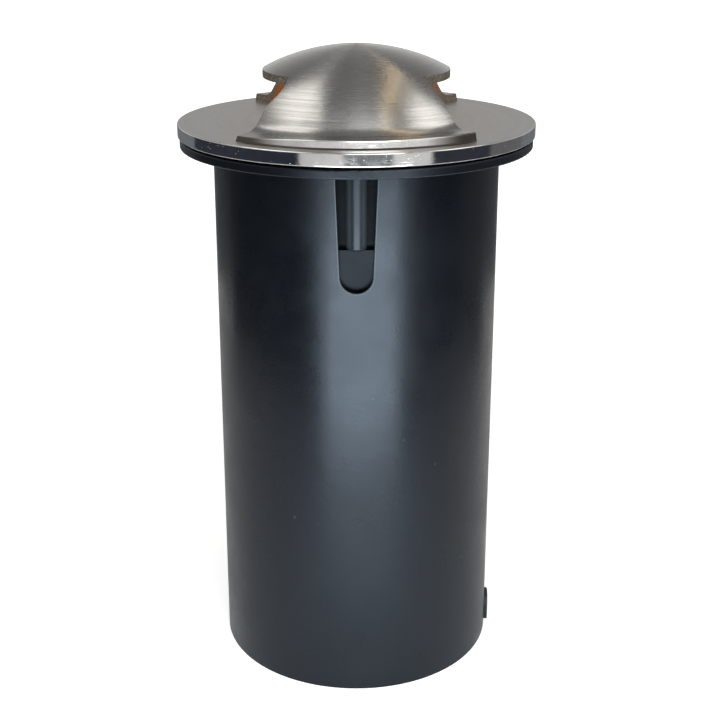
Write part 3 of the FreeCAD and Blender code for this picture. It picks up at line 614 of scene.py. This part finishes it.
def foot_edge_steel():
    """Upright edge of the cover's feet: bright in the middle, rougher and darker towards the
    ends.
    """
    material, tree, shader = new_material("foot_edge_steel")
    place = object_place(tree)
    tone = place_group(tree, MOTTLE, Place=place, Colour=(0.88, 0.87, 0.85),
                       Coarse_Scale=70.0, Fine_Scale=700.0, Depth=0.3)
    nicks = place_group(tree, SPECKS, Place=place, Scale=420.0, Size=0.2, Share=0.05)
    nicked = mix_colour(tree, product(tree, nicks.outputs["Mask"], 0.7),
                        tone.outputs["Colour"], (0.2, 0.19, 0.17))
    across = math_node(tree, "ABSOLUTE", axes_of(tree, place)[0])
    colour = mix_colour(tree, rise(tree, across, FOOT_DARK_ENDS), nicked, (0.12, 0.105, 0.087))
    tree.links.new(colour, shader.inputs["Base Color"])
    shader.inputs["Metallic"].default_value = 1.0
    polish = map_range(tree, tone.outputs["Value"], *NOISE_SPAN, 0.11, 0.2)
    dull = product(tree, rise(tree, across, FOOT_DULL), 0.22)
    tree.links.new(total(tree, polish, dull), shader.inputs["Roughness"])
    bump(tree, shader, noise(tree, place, 420.0, detail=3.0, roughness=0.6), distance=0.00006)
    return material


def cut_steel():
    """Rough sawn or cast edge of the cover's windows, with painted amber light on the cuts below
    the cap.
    """
    material, tree, shader = new_material("cut_steel")
    place = object_place(tree)
    tone = place_group(tree, MOTTLE, Place=place, Colour=(0.32, 0.285, 0.235),
                       Coarse_Scale=520.0, Fine_Scale=1900.0, Depth=0.6)
    grain = noise(tree, place, 1700.0, detail=3.0, roughness=0.6)
    hollow = map_range(tree, grain, 0.42, 0.58, 0.7, 0.0)
    colour = mix_colour(tree, hollow, tone.outputs["Colour"], (0.1, 0.085, 0.07))
    # painted warm light: amber on the cuts below the cap, strongest towards the inside
    under_cap = fall(tree, level_of(tree, place), PAINTED_AMBER_BELOW_CAP)
    inward = map_range(tree, radius_of(tree, place), PAINTED_AMBER_INWARD[0] * MM, PAINTED_AMBER_INWARD[1] * MM,
                       1.0, PAINTED_AMBER_OUTER_SHARE)
    colour = mix_colour(tree, product(tree, under_cap, inward, PAINTED_AMBER_SHARE), colour,
                        (0.43, 0.23, 0.12))
    tree.links.new(colour, shader.inputs["Base Color"])
    shader.inputs["Metallic"].default_value = 0.8
    tree.links.new(map_range(tree, tone.outputs["Value"], *NOISE_SPAN, 0.42, 0.66),
                   shader.inputs["Roughness"])
    bump(tree, shader, noise(tree, place, 1300.0, detail=4.0, roughness=0.75), distance=0.0008)
    return material


def inner_steel():
    """Unpolished inside of the cover with painted warm light: amber low down, straw higher up."""
    material, tree, shader = new_material("inner_steel")
    place = object_place(tree)
    # painted warm light in the base colour
    tint = rise(tree, level_of(tree, place), PAINTED_AMBER_TO_STRAW)
    patch = noise(tree, place, 60.0, detail=3.0, roughness=0.6)
    amber = mix_colour(tree, patch, (0.46, 0.22, 0.09), (0.56, 0.34, 0.16))
    straw = mix_colour(tree, patch, (0.42, 0.33, 0.22), (0.56, 0.46, 0.34))
    tree.links.new(mix_colour(tree, tint, amber, straw), shader.inputs["Base Color"])
    shader.inputs["Metallic"].default_value = 0.6
    tree.links.new(map_range(tree, patch, *NOISE_SPAN, 0.4, 0.55), shader.inputs["Roughness"])
    bump(tree, shader, noise(tree, place, 900.0, detail=4.0, roughness=0.7), distance=0.00012)
    return material


# Rows of plain_finish: colour, scales, depth, roughness, metal, grain.
PLAIN_FINISHES = {
    "black_nylon": ((0.016, 0.016, 0.018), (90.0, 1200.0), 0.3, (0.38, 0.52), 0.0,
                    (1800.0, 2.0, 0.5, 0.00004)),
    "white_plastic": ((0.7, 0.69, 0.64), (120.0, 900.0), 0.08, (0.28, 0.38), 0.0, None),
    "can_aluminium": ((0.36, 0.36, 0.37), (70.0, 1500.0), 0.25, (0.42, 0.6), 0.85,
                      (1900.0, 4.0, 0.7, 0.0001)),
    "white_ceramic": ((0.74, 0.72, 0.67), (150.0, 1800.0), 0.1, (0.5, 0.65), 0.0,
                      (2400.0, 3.0, 0.6, 0.00005)),
    # The dark bead under the cover's feet takes brown_sealant as painted shade.
    "brown_sealant": ((0.03, 0.021, 0.017), (200.0, 1500.0), 0.5, (0.3, 0.5), 0.0,
                      (900.0, 3.0, 0.6, 0.0001)),
}
# Rows of turned_metal: colour, lowest and highest roughness, lines.
TURNED_METALS = {
    "brass": ((0.62, 0.44, 0.17), 0.25, 0.4, 1500.0),
    "screw_steel": ((0.55, 0.55, 0.54), 0.2, 0.35, 1800.0),
    "gimbal_steel": ((0.5, 0.5, 0.5), 0.3, 0.42, 1200.0),
}
FINISHES = {
    "sleeve_plastic": sleeve_plastic(),
    "black_rubber": black_rubber(),
    "rim_steel": rim_steel(),
    "cover_steel": cover_steel(),
    "foot_edge_steel": foot_edge_steel(),
    "cut_steel": cut_steel(),
    "inner_steel": inner_steel(),
    "clear_glass": clear_glass(),
    "reflector_glass": reflector_glass(),
    **{name: plain_finish(name, *row) for name, row in PLAIN_FINISHES.items()},
    **{name: turned_metal(name, *row) for name, row in TURNED_METALS.items()},
}


def dress_cad_nodes():
    """Gives each carried-over node the finish of its material slot."""
    slots = {row["node"]: row["material_slot"] for row in frame["record"]["subparts"]}
    for node, thing in frame["nodes"].items():
        for shown in thing if isinstance(thing, (list, tuple)) else [thing]:
            shown.data.materials.clear()
            shown.data.materials.append(FINISHES[slots[node]])


# ---------------------------------------------------------------- cover

# Section of the dome: curves of the cap, shoulder and foot fillet, and thicknesses.
CAP_CURVE = 62.1
CAP_BLEND = 24.0
SHOULDER_CURVE = 41.5
FOOT_FILLET = 5.1
SHELL = 2.0
FOOT_THICKNESS = 2.4
FOOT_TOP_ROUND = 0.4
FOOT_LEAN = 0.3
FOOT_INSIDE = 1.0
# Dark bead below the feet, painted shade where the feet meet the rim: (share of reach, share of
# height) points, swollen and tapered towards the ends of a foot.
BEAD_HEIGHT = 0.4
BEAD_REACH = 0.6
BEAD_PROFILE = ((0.0, 1.0), (0.6, 0.9), (1.0, 0.4))
BEAD_SPREAD = 1.5
BEAD_TAPER = 0.14
BEAD_THINNEST = 0.1
# Wear of the front foot's left tip, and inward swing of the front leg's left cut.
TIP_WEAR = 1.1
WEAR_START = math.radians(12)
CUT_SWING = math.radians(2.6)
SWING_MIDDLE = 33.5
SWING_REACH = 5.0
# Windows and the roughness of their sawn edges.
WINDOW_RADIUS = 28.6
LEG_HALF_ANGLE = math.radians(42.5)
CUT_ROUGHNESS = 0.07
CUT_SEED = 7
# Fineness of the mesh.
CAP_STEPS = 30
LEG_STEPS = 44
FLAT_STEPS = 5
ROUND_STEPS = 4
TURN_STEPS = 288
CUT_STEPS = 5
SHARP_ANGLE = math.radians(32)
SAME_POINT = 1e-7
WELD_DISTANCE = 2e-6


class CoverSection:
    """Outer and inner height of the dome over the rim's top, in millimetres."""

    def __init__(self):
        rise_of_cover = COVER_TOP - RIM_TOP
        self.cap_centre = rise_of_cover - CAP_CURVE
        blend = math.asin(CAP_BLEND / CAP_CURVE)
        knee_height = self.cap_centre + CAP_CURVE * math.cos(blend)
        self.shoulder_r = CAP_BLEND - SHOULDER_CURVE * math.sin(blend)
        self.shoulder_h = knee_height - SHOULDER_CURVE * math.cos(blend)
        self.inner_knee = self.shoulder_r + (SHOULDER_CURVE - SHELL) * math.sin(blend)
        lift = FOOT_THICKNESS + FOOT_FILLET - self.shoulder_h
        reach = SHOULDER_CURVE + FOOT_FILLET
        self.fillet_r = self.shoulder_r + math.sqrt(reach ** 2 - lift ** 2)
        meet = math.atan2(self.fillet_r - self.shoulder_r, lift)
        self.fillet_start = self.shoulder_r + SHOULDER_CURVE * math.sin(meet)
        inner = SHOULDER_CURVE - SHELL
        self.inner_foot = self.shoulder_r + math.sqrt(inner ** 2 - self.shoulder_h ** 2)

    def outer(self, r):
        """Height of the outside at a radius."""
        if r <= CAP_BLEND:
            return self.cap_centre + math.sqrt(CAP_CURVE ** 2 - r ** 2)
        if r <= self.fillet_start:
            return self.shoulder_h + math.sqrt(SHOULDER_CURVE ** 2 - (r - self.shoulder_r) ** 2)
        if r <= self.fillet_r:
            drop = math.sqrt(FOOT_FILLET ** 2 - (r - self.fillet_r) ** 2)
            return FOOT_THICKNESS + FOOT_FILLET - drop
        return FOOT_THICKNESS

    def inner(self, r):
        """Height of the inside at a radius."""
        if r <= self.inner_knee:
            return self.cap_centre + math.sqrt((CAP_CURVE - SHELL) ** 2 - r ** 2)
        if r <= self.inner_foot:
            inner = SHOULDER_CURVE - SHELL
            return self.shoulder_h + math.sqrt(inner ** 2 - (r - self.shoulder_r) ** 2)
        return 0.0


def spread(low, high, steps):
    """Evenly spaced numbers, both ends included."""
    return [low + (high - low) * step / steps for step in range(steps + 1)]


def clamp(value, low, high):
    """Value held between two limits."""
    return min(high, max(low, value))


def polar(r, angle, height):
    """Point over the rim's top, angle measured from the front (-Y) towards +X."""
    return Vector((r * math.sin(angle), -r * math.cos(angle), RIM_TOP + height)) * MM


class Builder:
    """Collects grids of faces in one bmesh, each grid with its own material index."""

    def __init__(self):
        self.mesh = bmesh.new()

    def grid(self, rows, material=0):
        """Faces between rows of points; corners that fall together make a triangle."""
        made = [[self.mesh.verts.new(point) for point in row] for row in rows]
        for first, second in zip(made, made[1:]):
            for index in range(len(first) - 1):
                distinct = []
                for corner in (first[index], first[index + 1], second[index + 1],
                               second[index]):
                    if all((corner.co - other.co).length > SAME_POINT for other in distinct):
                        distinct.append(corner)
                if len(distinct) > 2:
                    self.mesh.faces.new(distinct).material_index = material

    def finish(self, name, materials):
        """Welds the grids, fixes the normals and returns the object."""
        bmesh.ops.remove_doubles(self.mesh, verts=self.mesh.verts[:], dist=WELD_DISTANCE)
        bmesh.ops.recalc_face_normals(self.mesh, faces=self.mesh.faces[:])
        for face in self.mesh.faces:
            face.smooth = True
        data = bpy.data.meshes.new(name)
        self.mesh.to_mesh(data)
        self.mesh.free()
        data.set_sharp_from_angle(angle=SHARP_ANGLE)
        for material in materials:
            data.materials.append(material)
        thing = bpy.data.objects.new(name, data)
        bpy.context.scene.collection.objects.link(thing)
        return thing


# Material slots of the cover, in order.
COVER_SKINS = ("cover_steel", "cut_steel", "inner_steel", "foot_edge_steel", "brown_sealant")
OUTSIDE, CUT, INSIDE, FOOT_EDGE, BEAD = range(len(COVER_SKINS))


def leg_path(section):
    """Matched outer and inner (radius, height) points of a leg, from window to foot edge."""
    foot_edge = COVER_RADIUS - FOOT_LEAN
    inner_edge = COVER_RADIUS - FOOT_INSIDE
    share = (section.inner_foot - WINDOW_RADIUS) / (section.fillet_r - WINDOW_RADIUS)
    outer, inner = [], []
    for r in spread(WINDOW_RADIUS, section.fillet_r, LEG_STEPS):
        inner_r = WINDOW_RADIUS + (r - WINDOW_RADIUS) * share
        outer.append((r, section.outer(r)))
        inner.append((inner_r, section.inner(inner_r)))
    outer += [(r, FOOT_THICKNESS) for r in
              spread(section.fillet_r, foot_edge - FOOT_TOP_ROUND, FLAT_STEPS)[1:]]
    inner += [(r, 0.0) for r in spread(section.inner_foot, inner_edge, FLAT_STEPS)[1:]]
    for turn in spread(0.0, math.pi / 2, ROUND_STEPS)[1:]:
        outer.append((foot_edge + FOOT_TOP_ROUND * (math.sin(turn) - 1),
                      FOOT_THICKNESS - FOOT_TOP_ROUND * (1 - math.cos(turn))))
    outer += [(COVER_RADIUS + BEAD_REACH * out, BEAD_HEIGHT * up) for out, up in BEAD_PROFILE]
    inner += [(r, 0.0) for r in spread(inner_edge, COVER_RADIUS + BEAD_REACH,
                                       ROUND_STEPS + len(BEAD_PROFILE))[1:]]
    return outer, inner


def leg_point(section, r, angle, height):
    """Point of a leg; the front leg's left cut swings in and its left tip is worn thin."""
    left = max(0.0, -angle) if abs(angle) < math.pi / 2 else 0.0
    side = clamp((left - WEAR_START) / (LEG_HALF_ANGLE - WEAR_START), 0.0, 1.0)
    side = side * side * (3 - 2 * side)
    bulge = max(0.0, 1 - ((r - SWING_MIDDLE) / SWING_REACH) ** 2) ** 2
    outward = clamp((r - section.fillet_start) / (COVER_RADIUS - section.fillet_start), 0.0, 1.0)
    over_bead = clamp((height - BEAD_HEIGHT) / (FOOT_THICKNESS - BEAD_HEIGHT), 0.0, 1.0)
    worn = TIP_WEAR * side * outward * over_bead
    off_middle = min(abs(angle), abs(abs(angle) - math.pi)) / LEG_HALF_ANGLE
    taper = clamp((1 - off_middle) / BEAD_TAPER, BEAD_THINNEST, 1.0)
    bead = max(0.0, r - COVER_RADIUS)
    swell = bead * ((1 + BEAD_SPREAD * off_middle ** 2) * taper - 1)
    return polar(r + swell, angle + CUT_SWING * side * bulge, height - worn)


def jitter(noise_source, inside):
    """Random step in millimetres for a point inside a sawn face, none on its border."""
    return noise_source.uniform(-CUT_ROUGHNESS, CUT_ROUGHNESS) if inside else 0.0


def leg_skins(outer, inner):
    """(path, material slot) rows of the surfaces that run round a leg."""
    bead_points = len(BEAD_PROFILE)
    flat_end = -ROUND_STEPS - bead_points
    bead_radius, bead_top = outer[-1]
    bead_face = [(bead_radius, height) for height in spread(bead_top, 0.0, CUT_STEPS)]
    return ((outer[:flat_end], OUTSIDE), (outer[flat_end - 1:1 - bead_points], FOOT_EDGE),
            (outer[-bead_points:], BEAD), (bead_face, BEAD), (inner, INSIDE))


def add_leg_cut(build, section, outer, inner, angle, rough):
    """Sawn side of a leg, between its outer and inner path."""
    rows = []
    for place, ((ro, ho), (ri, hi)) in enumerate(zip(outer, inner)):
        row = []
        for step, part in enumerate(spread(0.0, 1.0, CUT_STEPS)):
            inside = 0 < step < CUT_STEPS and 0 < place < len(outer) - 1
            wave = jitter(rough, inside) / WINDOW_RADIUS
            start = leg_point(section, ro, angle + wave, ho)
            end = leg_point(section, ri, angle + wave, hi)
            row.append(start.lerp(end, part))
        rows.append(row)
    build.grid(rows, CUT)


def add_window_cut(build, section, middle, rough):
    """Sawn edge of the cap over a window."""
    top, low = section.outer(WINDOW_RADIUS), section.inner(WINDOW_RADIUS)
    reach = math.pi / 2 - LEG_HALF_ANGLE
    turns = round(2 * reach / (2 * math.pi) * TURN_STEPS)
    rows = []
    for step, part in enumerate(spread(0.0, 1.0, CUT_STEPS)):
        row = []
        for index, angle in enumerate(spread(middle - reach, middle + reach, turns)):
            wave = jitter(rough, 0 < step < CUT_STEPS and 0 < index < turns)
            row.append(polar(WINDOW_RADIUS + wave, angle, top + (low - top) * part))
        rows.append(row)
    build.grid(rows, CUT)


def make_cover_dome():
    """Dome with two legs as one closed mesh; its sawn edges are uneven."""
    section = CoverSection()
    build = Builder()
    rough = random.Random(CUT_SEED)
    around = spread(-math.pi, math.pi, TURN_STEPS)
    cap_radii = spread(0.0, WINDOW_RADIUS, CAP_STEPS)
    for height_at, skin in ((section.outer, OUTSIDE), (section.inner, INSIDE)):
        build.grid([[polar(r, a, height_at(r)) for a in around] for r in cap_radii], skin)
    outer, inner = leg_path(section)
    leg_turns = round(LEG_HALF_ANGLE * 2 / (2 * math.pi) * TURN_STEPS)
    for middle in (0.0, math.pi):
        turn = spread(middle - LEG_HALF_ANGLE, middle + LEG_HALF_ANGLE, leg_turns)
        for path, skin in leg_skins(outer, inner):
            build.grid([[leg_point(section, r, a, h) for a in turn] for r, h in path], skin)
        for side_angle in (turn[0], turn[-1]):
            add_leg_cut(build, section, outer, inner, side_angle, rough)
    for middle in (math.pi / 2, -math.pi / 2):
        add_window_cut(build, section, middle, rough)
    cover = build.finish("cover_dome", [FINISHES[skin] for skin in COVER_SKINS])
    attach(cover, "face")
    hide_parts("cover")


# ---------------------------------------------------------------- stage, light (metres)

FLOOR_SIDE = 6.0
FLOOR_NEAR, FLOOR_FAR = 0.1, 0.9
FLOOR_NEAR_GLOW = 0.56
FLOOR_SEEN_IN_GLOSS = 0.05
CEILING_SPAN = (0.05, 0.75)
DIM_CEILING = 0.26
HORIZON_LIGHT = 0.64

# Area lights: name, place, aim, width, height, watts, colour.
TARGET = (0.0, 0.0, 0.18)
WARM_WHITE = (1.0, 0.97, 0.93)
SOFTBOXES = (
    ("left_overhead", (-0.55, 0.04, 1.1), TARGET, 0.8, 0.46, 2.4, WARM_WHITE),
    ("right_overhead", (0.79, -0.04, 1.1), TARGET, 0.64, 0.5, 2.3, WARM_WHITE),
    ("warm_strip", (0.27, 0.27, 1.1), (0.0, 0.27, 0.18), 1.26, 0.03, 0.5, (1.0, 0.74, 0.42)),
    ("front_strip", (0.05, -0.43, 1.1), (0.05, 0.0, 0.18), 1.2, 0.09, 0.6, (1.0, 1.0, 1.0)),
    ("front_low", (0.017, -0.2, 0.069), (0.017, 0.0, 0.069), 0.2, 0.116, 0.45,
     (0.8, 0.93, 1.0)),
    ("front_fill", (0.3, -1.3, 1.0), TARGET, 0.9, 0.9, 9.0, (1.0, 1.0, 1.0)),
)
# Cards that only reflections see: name, first and last turn, radius, low, high, shade.
CARDS = (
    ("left_card", (-113, -32), 0.3, 0.0, 0.2, (0.02, 0.024, 0.036)),
    ("right_card", (43, 84), 0.3, 0.0, 0.2, (0.026, 0.03, 0.042)),
    ("far_left_card", (-152, -113), 0.3, 0.04, 0.2, (0.15, 0.16, 0.17)),
    ("far_right_card", (84, 118), 0.3, 0.0, 0.2, (0.12, 0.12, 0.13)),
    ("back_right_card", (118, 152), 0.3, 0.04, 0.2, (0.15, 0.16, 0.17)),
    ("middle_card", (-7, 20), 0.25, 0.119, 0.16, (0.2, 0.21, 0.22)),
)
CARD_STEPS = 12
# The faint glow under the cover.
LAMP_POWER = 0.03
LAMP_AMBER = (1.0, 0.55, 0.2)
LAMP_SIZE = 0.004
LAMP_HEIGHT = (RIM_TOP + 5.0) * MM


def seen_rays(tree):
    """Two masks: rays from the camera, and rays seen in gloss or through glass."""
    path = add_node(tree, "ShaderNodeLightPath")
    return path.outputs["Is Camera Ray"], math_node(
        tree, "MAXIMUM", path.outputs["Is Glossy Ray"], path.outputs["Is Transmission Ray"])


def add_floor():
    """Pale floor: white to the camera and in reflections, with the object's shadow."""
    build = Builder()
    half = FLOOR_SIDE / 2
    build.grid([[Vector((x, y, 0)) for x in (-half, half)] for y in (-half, half)])
    material, tree, shader = new_material("floor_paper")
    place = object_place(tree)
    tone = place_group(tree, MOTTLE, Place=place, Colour=(0.74, 0.74, 0.74), Coarse_Scale=3.0,
                       Fine_Scale=200.0, Depth=0.01)
    tree.links.new(tone.outputs["Colour"], shader.inputs["Base Color"])
    shader.inputs["Roughness"].default_value = 0.9
    shader.inputs["Emission Color"].default_value = (1, 1, 1, 1)
    camera_ray, seen_ray = seen_rays(tree)
    beyond = map_range(tree, radius_of(tree, place), FLOOR_NEAR, FLOOR_FAR, FLOOR_NEAR_GLOW)
    glow = total(tree, product(tree, camera_ray, beyond),
                 product(tree, seen_ray, FLOOR_SEEN_IN_GLOSS))
    tree.links.new(glow, shader.inputs["Emission Strength"])
    floor = build.finish("floor", [material])


def add_world():
    """White to the camera; bright horizon and dim ceiling for everything else."""
    world = bpy.data.worlds.new("studio")
    bpy.context.scene.world = world
    world.use_nodes = True
    tree = world.node_tree
    tree.nodes.clear()
    output = tree.nodes.new("ShaderNodeOutputWorld")
    background = tree.nodes.new("ShaderNodeBackground")
    tree.links.new(background.outputs[0], output.inputs["Surface"])
    direction = add_node(tree, "ShaderNodeTexCoord").outputs["Generated"]
    around = map_range(tree, level_of(tree, direction), *CEILING_SPAN, HORIZON_LIGHT,
                       DIM_CEILING)
    camera_ray, _ = seen_rays(tree)
    background.inputs["Color"].default_value = (1, 1, 1, 1)
    tree.links.new(math_node(tree, "MAXIMUM", camera_ray, around),
                   background.inputs["Strength"])


def add_lamp(name, data, place):
    """Places a light that the camera doesn't see, and returns it."""
    lamp = bpy.data.objects.new(name, data)
    lamp.location = place
    lamp.visible_camera = False
    bpy.context.scene.collection.objects.link(lamp)
    return lamp


def add_softbox(name, place, aim, width, height, power, colour):
    """Area light that faces a point."""
    data = bpy.data.lights.new(name, "AREA")
    data.shape = "RECTANGLE"
    data.size = width
    data.size_y = height
    data.energy = power
    data.color = colour
    lamp = add_lamp(name, data, place)
    lamp.rotation_euler = (Vector(aim) - Vector(place)).to_track_quat("-Z", "Y").to_euler()


def add_card(name, turns, radius, low, high, shade):
    """Upright curved card that only reflections see; turns are degrees from the front to +X."""
    build = Builder()
    angles = spread(math.radians(turns[0]), math.radians(turns[1]), CARD_STEPS)
    build.grid([[Vector((radius * math.sin(angle), -radius * math.cos(angle), level))
                 for angle in angles] for level in (low, high)])
    material, _, shader = new_material(name)
    shader.inputs["Base Color"].default_value = (0, 0, 0, 1)
    shader.inputs["Roughness"].default_value = 1.0
    shader.inputs["Emission Color"].default_value = (*shade, 1)
    shader.inputs["Emission Strength"].default_value = 1.0
    card = build.finish(name, [material])
    card.visible_camera = False
    card.visible_shadow = False
    card.visible_diffuse = False
    card.visible_transmission = False


def add_lights():
    """Soft studio light, the cards, and the faint glow of the lamp under the cover."""
    for row in SOFTBOXES:
        add_softbox(*row)
    for row in CARDS:
        add_card(*row)
    glow = bpy.data.lights.new("lamp_glow", "POINT")
    glow.energy = LAMP_POWER
    glow.color = LAMP_AMBER
    glow.shadow_soft_size = LAMP_SIZE
    add_lamp("lamp_glow", glow, (0.0, 0.0, LAMP_HEIGHT))


# ---------------------------------------------------------------- build


bpy.context.scene.view_settings.view_transform = "Standard"
add_camera()
add_world()
add_floor()
add_lights()
dress_cad_nodes()
make_cover_dome()
